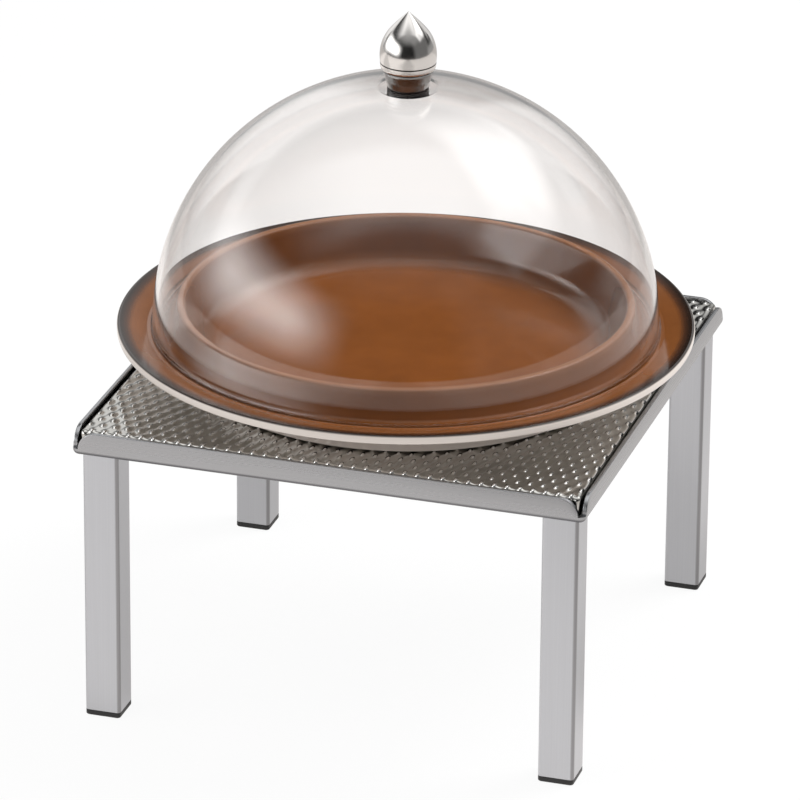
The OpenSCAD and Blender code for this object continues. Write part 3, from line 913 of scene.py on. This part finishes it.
def soft_box(name, azimuth, elevation, size, power):
    """A square area lamp that faces the dish from an azimuth, right of the camera's, and an elevation."""
    way = aim(VIEW_AZIMUTH + np.radians(azimuth), np.radians(elevation), 0)[2]
    place = LAMP_TARGET + Vector(way) * LAMP_DISTANCE
    facing = (LAMP_TARGET - place).to_track_quat("-Z", "Y").to_matrix().to_4x4()
    light = bpy.data.lights.new(name, "AREA")
    light.size = size
    light.energy = power
    lamp = add_object(name, light)
    lamp.matrix_world = Matrix.Translation(place) @ facing
    lamp.visible_camera = False
    lamp.visible_glossy = False
    lamp.visible_transmission = False


soft_box("key_lamp", azimuth=115, elevation=50, size=1.0, power=36)
soft_box("fill_lamp", azimuth=-70, elevation=45, size=1.2, power=9)


def bright_patch(sky, direction, azimuth, elevation, wide, high, soft, glow):
    """A soft-edged rectangle of the surround, by its middle's azimuth right of straight ahead
    and its elevation.

    The direction's parts along the patch's level and upright axes pass through smooth steps
    at its half sizes."""
    azimuth, elevation = np.radians(azimuth), np.radians(elevation)
    ca, sa, ce, se = np.cos(azimuth), np.sin(azimuth), np.cos(elevation), np.sin(elevation)
    middle = np.array([sa * ce, ca * ce, se])
    level = np.array([ca, -sa, 0])
    off_level = join(sky, "ABSOLUTE", dot(sky, direction, level))
    off_upright = join(sky, "ABSOLUTE", dot(sky, direction, np.cross(level, middle)))
    across = ramp(sky, off_level, wide - soft[0], wide + soft[0], glow, 0.0)
    upward = ramp(sky, off_upright, high - soft[1], high + soft[1], 1.0, 0.0)
    this_side = ramp(sky, dot(sky, direction, middle), 0.0, 0.1, 0.0, 1.0)
    return join(sky, "MULTIPLY", join(sky, "MULTIPLY", across, upward), this_side)


ROOM_LIGHT = 0.70
CEILING_WAY = (0, -0.174, 0.985)
CEILING_GLOW = (0.55, 0.99, 0.02, 0.40)
FAR_WALL = (-0.2, 0.3, 0.0, 0.32)
FAR_WALL_TOP = (0.0, 0.26, 1.0, 0.0)
# Azimuth and elevation in degrees, half sizes and soft edges as parts of a direction, and glow
PATCHES = {
    "bright_strip": (-103, 15, 0.53, 0.15, (0.25, 0.20), 5.2),
    "window": (54, 50, 0.35, 0.26, (0.20, 0.09), 2.2),
    "small_window": (100, 44, 0.25, 0.19, (0.06, 0.06), 0.7),
    "right_wall": (117, 18, 0.58, 0.45, (0.12, 0.12), 0.14),
    "far_strip": (0, 36, 0.85, 0.09, (0.10, 0.05), 0.5),
    "overhead_light": (180, 88, 0.55, 0.36, (0.30, 0.10), 0.85)}
world = bpy.data.worlds.new("studio")
world.use_nodes = True
world.cycles.sampling_method = "NONE"
bpy.context.scene.world = world
sky = world.node_tree
gaze = put_node(sky, "TexCoord").outputs["Generated"]
direction = put_node(sky, "Mapping", Vector=gaze, Rotation=(0, 0, -VIEW_AZIMUTH)).outputs["Vector"]
axes = put_node(sky, "SeparateXYZ", Vector=direction).outputs
ceiling = ramp(sky, dot(sky, direction, CEILING_WAY), *CEILING_GLOW)
far_wall = join(sky, "MULTIPLY", ramp(sky, axes["Y"], *FAR_WALL), ramp(sky, axes["Z"], *FAR_WALL_TOP))
room = join(sky, "ADD", ceiling, far_wall)
for patch in PATCHES.values():
    room = join(sky, "ADD", room, bright_patch(sky, direction, *patch))
seen, mirrored = sight(sky)
view = put_node(sky, "Mix", Factor=mirrored, A=1.0, B=room).outputs["Result"]
lit = put_node(sky, "Mix", Factor=seen, A=ROOM_LIGHT, B=view).outputs["Result"]
give_all(sky, sky.nodes["Background"], Color=(1, 1, 1, 1), Strength=lit)

bpy.context.scene.view_settings.view_transform = "Standard"
